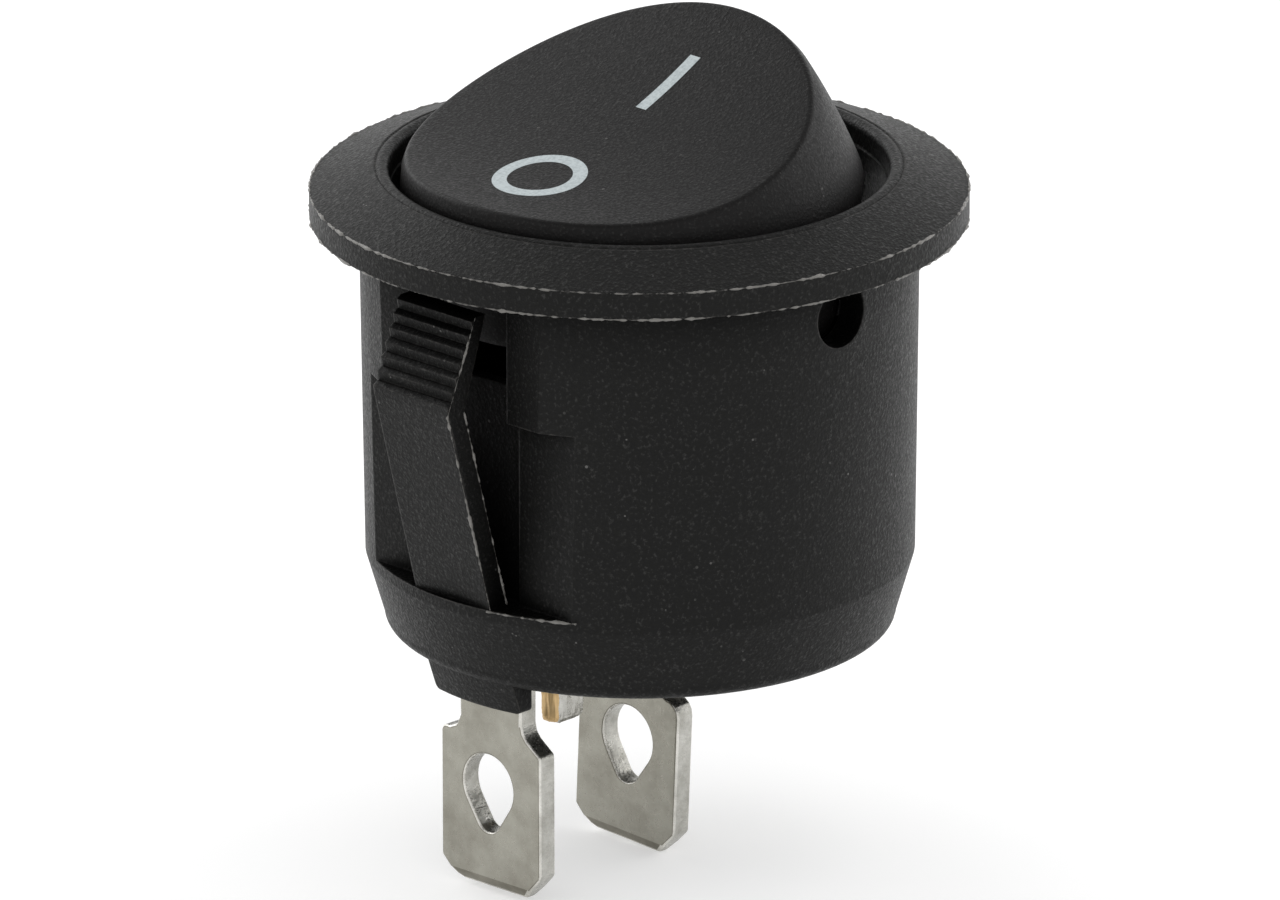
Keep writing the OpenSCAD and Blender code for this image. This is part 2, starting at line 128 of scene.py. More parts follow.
@dataclass(frozen=True)
class MouldedPlastic:
    """Black or natural thermoplastic as it leaves a spark-eroded mould.

    The eroded grain breaks every highlight into a fine sparkle, chalky dust sits in it,
    and the edges carry a broken pale line, partly flash and rub marks and partly a
    painted highlight. Grooves and slots carry painted shade.
    """

    name: str
    colour: str = "#0e0e0d"
    dusty: str = "#8b8a88"
    # pale edge colour: partly rub wear and flash, partly a painted highlight
    worn: str = "#8a8783"
    roughness: float = 0.46
    specular: float = 0.17
    grain_mm: float = 0.13
    grain_depth_mm: float = 0.035
    mottle_mm: float = 2.2
    cell_mm: float = 0.45
    dust: float = 0.5
    # strength of the pale edge line, wear and painted highlight together
    wear_and_highlight: float = 0.3
    edge_mm: float = 0.12
    broken_mm: float = 0.35
    # colour of the painted shade in grooves and slots, and how far round it looks for
    # cover
    painted_recess_shade: str = "#050505"
    shade_reach_mm: float = 3.0

    def build(self) -> bpy.types.Material:
        """Makes the material.

        Returns:
            The finished material.
        """
        material = new_material(self.name)
        add = partial(add_node, material.node_tree)
        where = add("TexCoord").outputs["Object"]
        # spark erosion leaves pits of about 0.03 mm, drawn as coarse as shows: grain_mm
        grain = add(
            "TexNoise",
            inputs={
                "Vector": where,
                "Scale": 1 / (self.grain_mm * MM),
                "Detail": 2.0,
                "Roughness": 0.65,
            },
        )
        # the moulding's slow unevenness, a few millimetres across
        mottle = add(
            "TexNoise",
            inputs={"Vector": where, "Scale": 1 / (self.mottle_mm * MM), "Detail": 3.0},
        )
        # single specks of dust and chalk, at most one in each cell, up to 0.1 mm across
        cells = add(
            "TexVoronoi", inputs={"Vector": where, "Scale": 1 / (self.cell_mm * MM)}
        )
        split = add("SeparateColor", inputs={"Color": cells.outputs["Color"]})
        reach = add(
            "MapRange", inputs={"Value": split, "From Min": 0.45, "To Max": 0.13}
        )
        speck = add("Math", {"operation": "LESS_THAN"}, {0: cells, 1: reach})
        gathered = add(
            "MapRange",
            inputs={
                "Value": mottle, "From Min": 0.48, "From Max": 0.62, "To Min": 0.05
            },
        )
        specks = add("Math", {"operation": "MULTIPLY"}, {0: speck, 1: gathered})
        film = add(
            "MapRange",
            inputs={"Value": grain, "From Min": 0.56, "From Max": 0.8, "To Max": 0.3},
        )
        dusted = add("Math", {"operation": "MAXIMUM"}, {0: specks, 1: film})
        share = add(
            "Math",
            {"operation": "MULTIPLY", "use_clamp": True},
            {0: dusted, 1: self.dust},
        )
        plain = add(
            "Mix",
            {"data_type": "RGBA"},
            {"Factor": share, 6: linear(self.colour), 7: linear(self.dusty)},
        )
        # rounded edges, and a broken pale line on them that is partly rub wear and
        # flash and partly a painted highlight
        rounded = add("Bevel", {"samples": 8}, {"Radius": self.edge_mm * MM})
        flat = add("NewGeometry").outputs["Normal"]
        facing = add("VectorMath", {"operation": "DOT_PRODUCT"}, {0: rounded, 1: flat})
        edge = add(
            "MapRange",
            inputs={
                "Value": facing.outputs["Value"],
                "From Min": 0.985,
                "From Max": 0.86,
                "To Max": self.wear_and_highlight,
            },
        )
        broken = add(
            "TexNoise",
            inputs={
                "Vector": where,
                "Scale": 1 / (self.broken_mm * MM),
                "Detail": 4.0,
                "Roughness": 0.7,
            },
        )
        patches = add(
            "MapRange",
            inputs={"Value": broken, "From Min": 0.45, "From Max": 0.66, "To Min": 0.1},
        )
        highlit_and_rubbed = add(
            "Math", {"operation": "MULTIPLY", "use_clamp": True}, {0: edge, 1: patches}
        )
        colour = add(
            "Mix",
            {"data_type": "RGBA"},
            {"Factor": highlit_and_rubbed, 6: plain.outputs[2], 7: linear(self.worn)},
        )
        sheen = add(
            "MapRange",
            inputs={
                "Value": grain,
                "From Min": 0.35,
                "From Max": 0.7,
                "To Min": self.roughness + 0.1,
                "To Max": self.roughness - 0.12,
            },
        )
        bump = add(
            "Bump",
            inputs={
                "Distance": self.grain_depth_mm * MM, "Height": grain, "Normal": rounded
            },
        )
        # painted shade: grooves and slots are painted near black and their gloss is
        # cut, by how closed in they are
        painted_recess_shade = add(
            "AmbientOcclusion",
            {"samples": 8, "only_local": True},
            {"Distance": self.shade_reach_mm * MM},
        )
        unshaded = add(
            "MapRange",
            inputs={
                "Value": painted_recess_shade.outputs["AO"],
                "From Min": 0.4,
                "From Max": 0.95,
                "To Min": 0.05,
            },
        )
        deep = add(
            "Mix",
            {"data_type": "RGBA"},
            {"Factor": unshaded, 6: linear(self.painted_recess_shade), 7: colour.outputs[2]},
        )
        shaded_gloss = add("Math", {"operation": "MULTIPLY"}, {0: unshaded, 1: self.specular})
        shader = add(
            "BsdfPrincipled",
            inputs={
                "Base Color": deep.outputs[2],
                "Roughness": sheen,
                "Specular IOR Level": shaded_gloss,
                "Normal": bump,
            },
        )
        add("OutputMaterial", inputs={"Surface": shader})
        return material


@dataclass(frozen=True)
class PlatedStrip:
    """Rolled strip, tin plated or bare.

    Rolling leaves long faint streaks, the plating dulls in clouds, and handling leaves
    pits.
    """

    name: str
    colour: str
    stain: str
    roughness: float = 0.34
    streak_mm: float = 0.22
    depth_mm: float = 0.012
    cloud_mm: float = 1.4
    pit_mm: float = 0.3
    along: tuple[float, float, float] = (1.0, 1.0, 0.16)

    def build(self) -> bpy.types.Material:
        """Makes the material.

        Returns:
            The finished material.
        """
        material = new_material(self.name)
        add = partial(add_node, material.node_tree)
        where = add("TexCoord").outputs["Object"]
        cloud = add(
            "TexNoise",
            inputs={
                "Vector": where,
                "Scale": 1 / (self.cloud_mm * MM),
                "Detail": 5.0,
                "Roughness": 0.65,
            },
        )
        drawn = add("Mapping", inputs={"Vector": where, "Scale": self.along})
        # rolling marks are a few hundredths apart, drawn as coarse as shows: streak_mm
        streak = add(
            "TexNoise",
            inputs={
                "Vector": drawn,
                "Scale": 1 / (self.streak_mm * MM),
                "Detail": 4.0,
                "Roughness": 0.6,
            },
        )
        pits = add(
            "TexNoise",
            inputs={
                "Vector": where,
                "Scale": 1 / (self.pit_mm * MM),
                "Detail": 5.0,
                "Roughness": 0.75,
            },
        )
        height = add(
            "Math", {"operation": "MULTIPLY_ADD"}, {0: streak, 1: 0.5, 2: pits}
        )
        bump = add("Bump", inputs={"Distance": self.depth_mm * MM, "Height": height})
        dull = add(
            "MapRange", inputs={"Value": cloud, "From Min": 0.36, "From Max": 0.7}
        )
        colour = add(
            "Mix",
            {"data_type": "RGBA"},
            {"Factor": dull, 6: linear(self.colour), 7: linear(self.stain)},
        )
        sheen = add(
            "MapRange",
            inputs={
                "Value": pits,
                "From Min": 0.3,
                "From Max": 0.7,
                "To Min": self.roughness - 0.08,
                "To Max": self.roughness + 0.12,
            },
        )
        shader = add(
            "BsdfPrincipled",
            inputs={
                "Base Color": colour.outputs[2],
                "Metallic": 1.0,
                "Roughness": sheen,
                "Normal": bump,
            },
        )
        add("OutputMaterial", inputs={"Surface": shader})
        return material


@dataclass(frozen=True)
class PadPrint:
    """Pad-printed ink: flat, pale, slightly blue, and thin enough to show the grain."""

    name: str = "pad_print_ink"
    colour: str = "#bcc5c7"
    thin: str = "#9ea8ab"
    roughness: float = 0.6
    grain_mm: float = 0.13
    relief_mm: float = 0.012

    def build(self) -> bpy.types.Material:
        """Makes the material.

        Returns:
            The finished material.
        """
        material = new_material(self.name)
        add = partial(add_node, material.node_tree)
        where = add("TexCoord").outputs["Object"]
        grain = add(
            "TexNoise",
            inputs={
                "Vector": where,
                "Scale": 1 / (self.grain_mm * MM),
                "Detail": 3.0,
                "Roughness": 0.65,
            },
        )
        worn = add(
            "MapRange", inputs={"Value": grain, "From Min": 0.42, "From Max": 0.72}
        )
        colour = add(
            "Mix",
            {"data_type": "RGBA"},
            {"Factor": worn, 6: linear(self.colour), 7: linear(self.thin)},
        )
        bump = add("Bump", inputs={"Distance": self.relief_mm * MM, "Height": grain})
        shader = add(
            "BsdfPrincipled",
            inputs={
                "Base Color": colour.outputs[2],
                "Roughness": self.roughness,
                "Normal": bump,
            },
        )
        add("OutputMaterial", inputs={"Surface": shader})
        return material


@dataclass(frozen=True)
class StudioPaper:
    """Seamless matt paper: white to the camera, with the switch's soft shadow."""

    name: str = "studio_paper"
    colour: str = "#dcdcdc"
    lift: float = 0.4

    def build(self) -> bpy.types.Material:
        """Makes the material.

        Returns:
            The finished material.
        """
        material = new_material(self.name)
        add = partial(add_node, material.node_tree)
        path = add("LightPath")
        shown = add(
            "Math",
            {"operation": "MAXIMUM"},
            {0: path.outputs["Is Camera Ray"], 1: path.outputs["Is Glossy Ray"]},
        )
        shown = add(
            "Math",
            {"operation": "MAXIMUM"},
            {0: shown, 1: path.outputs["Is Transmission Ray"]},
        )
        seen = add("Math", {"operation": "MULTIPLY"}, {0: shown, 1: self.lift})
        paper = add("BsdfDiffuse", inputs={"Color": linear(self.colour)})
        glow = add("Emission", inputs={"Color": WHITE, "Strength": seen})
        both = add("AddShader", inputs={0: paper, 1: glow})
        add("OutputMaterial", inputs={"Surface": both})
        return material


# -------------------------------- modelling


def only(obj: bpy.types.Object) -> None:
    """Makes one object the only selected and the active one.

    Args:
        obj: the object.
    """
    bpy.ops.object.select_all(action="DESELECT")
    obj.select_set(True)
    bpy.context.view_layer.objects.active = obj


def named(obj: bpy.types.Object, name: str) -> bpy.types.Object:
    """Names an object and its mesh.

    Args:
        obj: the object.
        name: their name.

    Returns:
        The same object.
    """
    obj.name = name
    obj.data.name = name
    return obj


def settle(obj: bpy.types.Object) -> bpy.types.Object:
    """Applies an object's place, turn and scale to its mesh.

    Args:
        obj: the object.

    Returns:
        The same object, at the origin.
    """
    only(obj)
    bpy.ops.object.transform_apply(location=True, rotation=True, scale=True)
    return obj


def modify(obj: bpy.types.Object, kind: str, **settings: object) -> None:
    """Adds one modifier and applies it.

    Args:
        obj: the object.
        kind: the modifier's type, such as "BEVEL".
        **settings: attributes set on it.
    """
    only(obj)
    modifier = obj.modifiers.new(kind.lower(), kind)
    for key, value in settings.items():
        setattr(modifier, key, value)
    bpy.ops.object.modifier_apply(modifier=modifier.name)


def round_edges(
    obj: bpy.types.Object,
    width: float,
    segments: int = 2,
    degrees: float = 40.0,
) -> None:
    """Rounds the edges that turn by more than an angle.

    Args:
        obj: the object.
        width: how far the rounding reaches from each edge.
        segments: steps across it.
        degrees: the least turn of an edge that is rounded.
    """
    modify(
        obj,
        "BEVEL",
        width=width,
        segments=segments,
        limit_method="ANGLE",
        angle_limit=math.radians(degrees),
    )


def crumple(obj: bpy.types.Object, size: float, strength: float) -> None:
    """Pushes a surface in and out by a cloud pattern.

    Args:
        obj: the object, already fine enough to take it.
        size: width of the clouds.
        strength: how far the surface moves in all.
    """
    texture = bpy.data.textures.new(obj.name + "_clouds", "CLOUDS")
    texture.noise_scale = size
    texture.noise_depth = 2
    modify(
        obj,
        "DISPLACE",
        texture=texture,
        texture_coords="LOCAL",
        strength=strength,
        mid_level=0.5,
    )


@contextmanager
def editing(obj: bpy.types.Object) -> Iterator[None]:
    """Holds an object in edit mode, at first with all of it selected.

    Args:
        obj: the object.

    Yields:
        Nothing, while the object is in edit mode.
    """
    only(obj)
    bpy.ops.object.mode_set(mode="EDIT")
    bpy.ops.mesh.select_all(action="SELECT")
    yield
    bpy.ops.object.mode_set(mode="OBJECT")


def block(
    name: str, size: Sequence[float], centre: Sequence[float], turn: float = 0.0
) -> bpy.types.Object:
    """Models a box.

    Args:
        name: its name.
        size: its lengths along x, y and z before the turn.
        centre: its middle.
        turn: its turn about the upright axis.

    Returns:
        The box.
    """
    bpy.ops.object.select_all(action="DESELECT")
    bpy.ops.mesh.primitive_cube_add(size=1.0, location=centre, rotation=(0, 0, turn))
    obj = named(bpy.context.object, name)
    obj.scale = size
    return settle(obj)


def rod(
    name: str, radius: float, length: float, centre: Sequence[float], turn: float = 0.0
) -> bpy.types.Object:
    """Models a closed cylinder.

    Args:
        name: its name.
        radius: its radius.
        length: its length.
        centre: its middle.
        turn: its turn about x, from upright.

    Returns:
        The cylinder.
    """
    bpy.ops.object.select_all(action="DESELECT")
    bpy.ops.mesh.primitive_cylinder_add(
        vertices=64, radius=radius, depth=length, location=centre, rotation=(turn, 0, 0)
    )
    return settle(named(bpy.context.object, name))


def pick_faces(obj: bpy.types.Object, test: Callable[[Vector], bool]) -> None:
    """Selects, in edit mode, only the faces that pass a test.

    Args:
        obj: the object in edit mode.
        test: takes a face's normal, and says whether the face is picked.
    """
    bpy.ops.mesh.select_all(action="DESELECT")
    shape = bmesh.from_edit_mesh(obj.data)
    for f in shape.faces:
        f.select_set(test(f.normal))
    bmesh.update_edit_mesh(obj.data)


def clean(obj: bpy.types.Object, near: float) -> None:
    """Merges doubles, drops slivers and turns the faces outwards.

    Args:
        obj: the object.
        near: how close two points are one.
    """
    with editing(obj):
        bpy.ops.mesh.remove_doubles(threshold=near)
        bpy.ops.mesh.dissolve_degenerate(threshold=near)
        bpy.ops.mesh.select_all(action="SELECT")
        bpy.ops.mesh.normals_make_consistent(inside=False)


def copy_of_node(node: str, name: str) -> bpy.types.Object:
    """Copies a CAD node's mesh into a new object and merges its doubles.

    Args:
        node: the CAD node's name.
        name: the new object's name.

    Returns:
        The new object, at the origin.
    """
    obj = bpy.data.objects.new(name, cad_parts[node].data.copy())
    bpy.context.collection.objects.link(obj)
    named(obj, name)
    with editing(obj):
        bpy.ops.mesh.remove_doubles(threshold=MERGE)
        bpy.ops.mesh.dissolve_limited(angle_limit=COPLANAR)
    return obj


def smooth(obj: bpy.types.Object, degrees: float) -> None:
    """Shades an object smooth, with the edges over that angle kept sharp."""
    only(obj)
    bpy.ops.object.shade_smooth_by_angle(angle=math.radians(degrees))


def dress(obj: bpy.types.Object, material: bpy.types.Material) -> None:
    """Gives every material slot of an object one material.

    Args:
        obj: the object.
        material: the material.
    """
    if not obj.material_slots:
        obj.data.materials.append(material)
    for place in obj.material_slots:
        place.material = material


# -------------------------------- the rocker


@dataclass
class Rocker:
    """The dished rocker.

    It is modelled level about its own pivot, then tilted with its O end down. The side
    wall is an arc turned about the upright axis. The face is a trough across the pivot
    that also falls slightly from the middle to its two sides.
    """

    pivot_z: float = -1.5 * MM
    tilt: float = math.radians(16.5)
    face_h: float = 5.0 * MM
    dish_r: float = 23.2 * MM
    cross_r: float = 159 * MM
    skirt_r: float = 8.56 * MM
    curve_r: float = 26.4 * MM
    curve_z: float = -2.62 * MM
    skirt_z: float = 1.2 * MM
    hollow_r: float = 6.8 * MM
    hollow_z: float = 3.6 * MM
    stem_r: float = 2.2 * MM
    stem_z: float = -6.6 * MM
    bore_r: float = 1.25 * MM
    bore_z: float = 1.0 * MM
    ear_out: float = 8.3 * MM
    ear_in: float = 7.1 * MM
    ear_r: float = 1.45 * MM
    pin_r: float = 1.1 * MM
    pin_end: float = 8.45 * MM
    rim_round: float = 0.26 * MM
    rim_turn: float = math.radians(74)
    foot: float = 0.18 * MM
    corner: float = 0.3 * MM
    overlap: float = 0.3 * MM
    rib_t: float = 0.9 * MM
    rib_into: float = 0.1 * MM
    ear_limit: float = 8.4 * MM
    stem_round: float = 0.12 * MM
    rib_round: float = 0.08 * MM
    ear_round: float = 0.1 * MM
    pin_round: float = 0.25 * MM
    face_rings: int = 12
    rim_steps: int = 7
    wall_steps: int = 14
    foot_steps: int = 4
    steps: int = 160
    settling: int = 6
    body: str = "rocker"

    def wall_r(self, z: float) -> float:
        """Radius of the side wall at height z above the pivot."""
        reach = self.curve_r**2 - (z - self.curve_z) ** 2
        return self.skirt_r - self.curve_r + math.sqrt(reach)

    def face_z(self, x: float, y: float) -> float:
        """Height of the dished face above the pivot."""
        trough = self.dish_r - math.sqrt(self.dish_r**2 - x * x)
        return self.face_h + trough - y * y / (2 * self.cross_r)

    def profile(self) -> list[tuple[float, float]]:
        """Half section (radius, height) from the middle of the face to under the cap.

        Returns:
            Points of one open chain that starts and ends on the axis.
        """
        top, r = self.face_h, self.rim_round
        rim = self.wall_r(top)
        rings = self.face_rings
        chain = [((rim - 2 * r) * i / rings, top) for i in range(rings + 1)]
        for i in range(self.rim_steps + 1):
            a = i / self.rim_steps * self.rim_turn
            chain.append((rim - r + r * math.sin(a), top - r + r * math.cos(a)))
        low, foot = self.skirt_z + self.foot, self.foot
        high = top - r * 0.6
        for i in range(1, self.wall_steps + 1):
            z = high + (low - high) * i / self.wall_steps
            chain.append((self.wall_r(z), z))
        for i in range(1, self.foot_steps + 1):
            a = i / self.foot_steps * math.pi / 2
            chain.append(
                (self.wall_r(low) - foot * (1 - math.cos(a)), low - foot * math.sin(a))
            )
        chain += [
            (self.hollow_r, self.skirt_z),
            (self.hollow_r, self.hollow_z - self.corner),
            (self.hollow_r - self.corner, self.hollow_z),
            (0.0, self.hollow_z),
        ]
        return chain

    def cap(self) -> bpy.types.Object:
        """Spins the half section into a closed cap and dishes its top.

        Returns:
            The cap, level about its pivot.
        """
        chain = self.profile()
        mesh = bpy.data.meshes.new("rocker_cap")
        mesh.from_pydata(
            [(r, 0.0, z) for r, z in chain],
            [(i, i + 1) for i in range(len(chain) - 1)],
            [],
        )
        obj = bpy.data.objects.new("rocker_cap", mesh)
        bpy.context.collection.objects.link(obj)
        with editing(obj):
            bpy.ops.mesh.spin(
                steps=self.steps, angle=2 * math.pi, center=(0, 0, 0), axis=(0, 0, 1)
            )
            bpy.ops.mesh.select_all(action="SELECT")
            bpy.ops.mesh.remove_doubles(threshold=MERGE)
            bpy.ops.mesh.normals_make_consistent(inside=False)
        self.dish(mesh)
        return obj

    def dish(self, mesh: bpy.types.Mesh) -> None:
        """Draws the flat top of the spun cap into the trough.

        Args:
            mesh: the spun cap.
        """
        start, full = self.hollow_z, self.face_h - self.rim_round
        for v in mesh.vertices:
            x, y, z = v.co
            r = math.hypot(x, y)
            if z <= start or r < MERGE:
                continue
            share = min(1.0, (z - start) / (full - start))
            inner = min(1.0, r / (self.wall_r(self.face_h) - self.rim_round))
            grown, lift = r, 0.0
            for _ in range(self.settling):
                k = grown / r
                lift = share * (self.face_z(k * x, k * y) - self.face_h)
                grown = r + (self.wall_r(z + lift) - self.wall_r(z)) * inner
            v.co = (grown * x / r, grown * y / r, z + lift)

    def stem(self) -> bpy.types.Object:
        """Models the hollow stem that carries the plunger, its bore open below.

        Returns:
            The stem.
        """
        deep = self.hollow_z - self.stem_z
        obj = rod("rocker_stem", self.stem_r, deep, (0, 0, self.stem_z + deep / 2))
        with editing(obj):
            bpy.ops.mesh.select_mode(type="FACE")
            pick_faces(obj, lambda normal: normal.z < -0.9)
            bpy.ops.mesh.inset(thickness=self.stem_r - self.bore_r)
            bpy.ops.mesh.extrude_region_move(
                TRANSFORM_OT_translate={"value": (0, 0, self.bore_z - self.stem_z)}
            )
        round_edges(obj, self.stem_round)
        return obj

    def ribs(self) -> list[bpy.types.Object]:
        """Models the crossed ribs between the stem and the side wall.

        Returns:
            The two ribs.
        """
        made = []
        low, high = self.skirt_z + self.overlap, self.hollow_z + self.rib_into
        size = (2 * (self.hollow_r + self.overlap), self.rib_t, high - low)
        for turn in (0.0, math.pi / 2):
            name = f"rocker_rib_{len(made)}"
            rib = block(name, size, (0, 0, (low + high) / 2), turn)
            round_edges(rib, self.rib_round)
            made.append(rib)
        return made

    def ears(self) -> list[bpy.types.Object]:
        """Models the ear and the pin at each side of the pivot.

        Returns:
            Ear and pin of one side, then of the other.
        """
        made = []
        across = math.pi / 2
        thick = self.ear_out - self.ear_in
        span = self.pin_end - self.ear_in - self.overlap
        for side in (-1, 1):
            middle = (0, side * (self.ear_in + thick / 2), 0)
            ear = rod(f"rocker_ear_{side + 1}", self.ear_r, thick, middle, across)
            for v in ear.data.vertices:
                # the upper half runs straight up into the side wall
                if v.co.z > 0.02 * MM:
                    v.co.z += self.skirt_z + self.overlap
                r = math.hypot(v.co.x, v.co.y)
                if r > self.ear_limit:
                    v.co.x *= self.ear_limit / r
                    v.co.y *= self.ear_limit / r
            round_edges(ear, self.ear_round, degrees=50)
            middle = (0, side * (self.pin_end - span / 2), 0)
            pin = rod(f"rocker_pin_{side + 1}", self.pin_r, span, middle, across)
            round_edges(pin, self.pin_round, segments=3, degrees=50)
            made += [ear, pin]
        return made

    def tip(self, obj: bpy.types.Object) -> None:
        """Tilts a level piece about the pivot and sets it at the pivot's height."""
        obj.data.transform(
            Matrix.Translation((0, 0, self.pivot_z))
            @ Matrix.Rotation(-self.tilt, 4, "Y")
        )
        obj.data.update()

    def build(self, plastic: bpy.types.Material) -> None:
        """Builds the rocker in place of its CAD node.

        Args:
            plastic: the rocker's finish.
        """
        pieces = [self.cap(), self.stem(), *self.ribs(), *self.ears()]
        only(pieces[0])
        for piece in pieces[1:]:
            piece.select_set(True)
        bpy.ops.object.join()
        obj = named(bpy.context.object, "rocker_moulding")
        self.tip(obj)
        smooth(obj, degrees=35)
        dress(obj, plastic)
        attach(obj, self.body)
        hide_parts("rocker")
        log.info("rocker built")


class Mark(Enum):
    """The two marks printed on the rocker's face."""

    OFF = "O"
    ON = "I"


@dataclass
class PrintedMark:
    """One pad-printed mark, a thin film on the dished face."""

    mark: Mark
    rocker: Rocker
    ring_x: float = -3.61 * MM
    ring_outer: float = 1.67 * MM
    ring_inner: float = 1.15 * MM
    bar_x: float = 3.08 * MM
    bar_length: float = 3.0 * MM
    bar_width: float = 0.48 * MM
    film: float = 0.012 * MM
    sunk: float = 0.004 * MM

    def outline(self) -> bpy.types.Object:
        """Models the mark flat, as faces fine enough to follow the dish.

        Returns:
            The flat mark.
        """
        bpy.ops.object.select_all(action="DESELECT")
        if self.mark is Mark.OFF:
            bpy.ops.mesh.primitive_circle_add(
                vertices=96, radius=self.ring_outer, location=(self.ring_x, 0, 0)
            )
            obj = settle(named(bpy.context.object, "printed_ring"))
            share = self.ring_inner / self.ring_outer
            with editing(obj):
                bpy.ops.mesh.extrude_edges_move()
                bpy.ops.transform.resize(
                    value=(share, share, 1), center_override=(self.ring_x, 0, 0)
                )
        else:
            bpy.ops.mesh.primitive_plane_add(size=1.0, location=(self.bar_x, 0, 0))
            obj = named(bpy.context.object, "printed_bar")
            obj.scale = (self.bar_length, self.bar_width, 1)
            with editing(settle(obj)):
                bpy.ops.mesh.subdivide(number_cuts=20)
        return obj

    def build(self, ink: bpy.types.Material) -> None:
        """Lays the mark on the face and gives it the ink's thickness.

        Args:
            ink: the print's finish.
        """
        obj = self.outline()
        for v in obj.data.vertices:
            v.co.z = self.rocker.face_z(v.co.x, v.co.y) - self.sunk
        with editing(obj):
            bpy.ops.mesh.normals_make_consistent(inside=False)
        if obj.data.polygons[0].normal.z < 0:
            obj.data.flip_normals()
        modify(obj, "SOLIDIFY", thickness=self.film, offset=1.0)
        self.rocker.tip(obj)
        smooth(obj, degrees=40)
        dress(obj, ink)
        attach(obj, self.rocker.body)
        log.info("mark %s printed", self.mark.value)


# -------------------------------- flash on the housing


@dataclass
class Flash:
    """A thread of flash along a parting line or a sharp edge of the housing."""

    name: str
    points: list[Vector]
    thread: float
    closed: bool = False
    rough: float = 0.22 * MM
    step: float = 0.09 * MM
    least: float = 0.1
    usual: float = 0.7
    swing: float = 1.6
    body: str = "body"

    def fine(self) -> list[Vector]:
        """Cuts the line into steps short enough to take the flash's unevenness.

        Returns:
            The points of the fine line.
        """
        ends = self.points[1:] + (self.points[:1] if self.closed else [])
        made = []
        for a, b in zip(self.points, ends):
            steps = max(1, round((b - a).length / self.step))
            made += [a.lerp(b, i / steps) for i in range(steps)]
        return made if self.closed else [*made, self.points[-1]]

    def build(self, plastic: bpy.types.Material) -> None:
        """Builds the thread, ragged as flash is.

        Args:
            plastic: its finish.
        """
        line = self.fine()
        curve = bpy.data.curves.new(self.name, "CURVE")
        curve.dimensions = "3D"
        curve.bevel_depth = self.thread
        curve.bevel_resolution = 1
        curve.use_fill_caps = not self.closed
        spline = curve.splines.new("POLY")
        spline.points.add(len(line) - 1)
        for place, point in zip(spline.points, line):
            place.co = (*point, 1.0)
            swell = noise.noise(point / self.rough)
            swell += noise.noise(point / (5 * self.rough))
            place.radius = max(self.least, self.usual + self.swing * swell)
        spline.use_cyclic_u = self.closed
        obj = bpy.data.objects.new(self.name, curve)
        bpy.context.collection.objects.link(obj)
        only(obj)
        bpy.ops.object.convert(target="MESH")
        obj = named(bpy.context.object, self.name)
        clean(obj, MERGE)
        crumple(obj, 0.6 * self.rough, 2.0 * self.thread)
        smooth(obj, degrees=60)
        dress(obj, plastic)
        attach(obj, self.body)
        log.info("%s laid", self.name)


@dataclass
class HousingFlash:
    """All the flash that shows, round the bezel and along the wings and shelves."""

    bezel_r: float = 11.5 * MM
    bezel_edge: float = 0.95 * MM
    wing_half: float = 1.8 * MM
    tooth_top: tuple[float, float] = (10.05 * MM, -0.93 * MM)
    ridge: tuple[float, float] = (11.45 * MM, -4.26 * MM)
    root: tuple[float, float] = (9.37 * MM, -11.85 * MM)
    wing_t: float = 0.82 * MM
    shelf_r: float = 9.72 * MM
    shelf_flat: float = 8.35 * MM
    ring_points: int = 360
    shelf_steps: int = 12
    thread: float = 0.036 * MM
    wing_share: float = 0.9

    def ring(self, radius: float, height: float) -> list[Vector]:
        """Points round the housing's axis."""
        count = self.ring_points
        turns = [2 * math.pi * i / count for i in range(count)]
        return [
            Vector((radius * math.cos(a), radius * math.sin(a), height)) for a in turns
        ]

    def lines(self) -> dict[str, list[Vector]]:
        """The open lines at the -X side.

        Returns:
            Name to points.
        """
        side = -self.wing_half
        front = [
            Vector((-x, side, z)) for x, z in (self.tooth_top, self.ridge, self.root)
        ]
        back = [
            Vector((-(x - self.wing_t), side, z)) for x, z in (self.ridge, self.root)
        ]
        spread = math.acos(self.shelf_flat / self.shelf_r)
        first = math.asin(self.wing_half / self.shelf_r)
        shelf = []
        for i in range(self.shelf_steps + 1):
            a = math.pi + first + (spread - first) * i / self.shelf_steps
            x, y = self.shelf_r * math.cos(a), self.shelf_r * math.sin(a)
            shelf.append(Vector((x, y, self.root[1])))
        return {"wing_front": front, "wing_back": back, "shelf": shelf}

    def build(self, plastic: bpy.types.Material) -> None:
        """Builds every thread, the open ones at both wings.

        Args:
            plastic: its finish.
        """
        for name, height in (("upper", self.bezel_edge), ("lower", 0.0)):
            Flash(
                f"{name}_flash",
                self.ring(self.bezel_r - 0.4 * self.thread, height),
                self.thread,
                closed=True,
            ).build(plastic)
        for side, turn in (("o", 0.0), ("i", math.pi)):
            about = Matrix.Rotation(turn, 3, "Z")
            for name, points in self.lines().items():
                Flash(
                    f"{name}_flash_{side}",
                    [about @ point for point in points],
                    self.thread * (1.0 if name == "shelf" else self.wing_share),
                ).build(plastic)


# -------------------------------- terminals


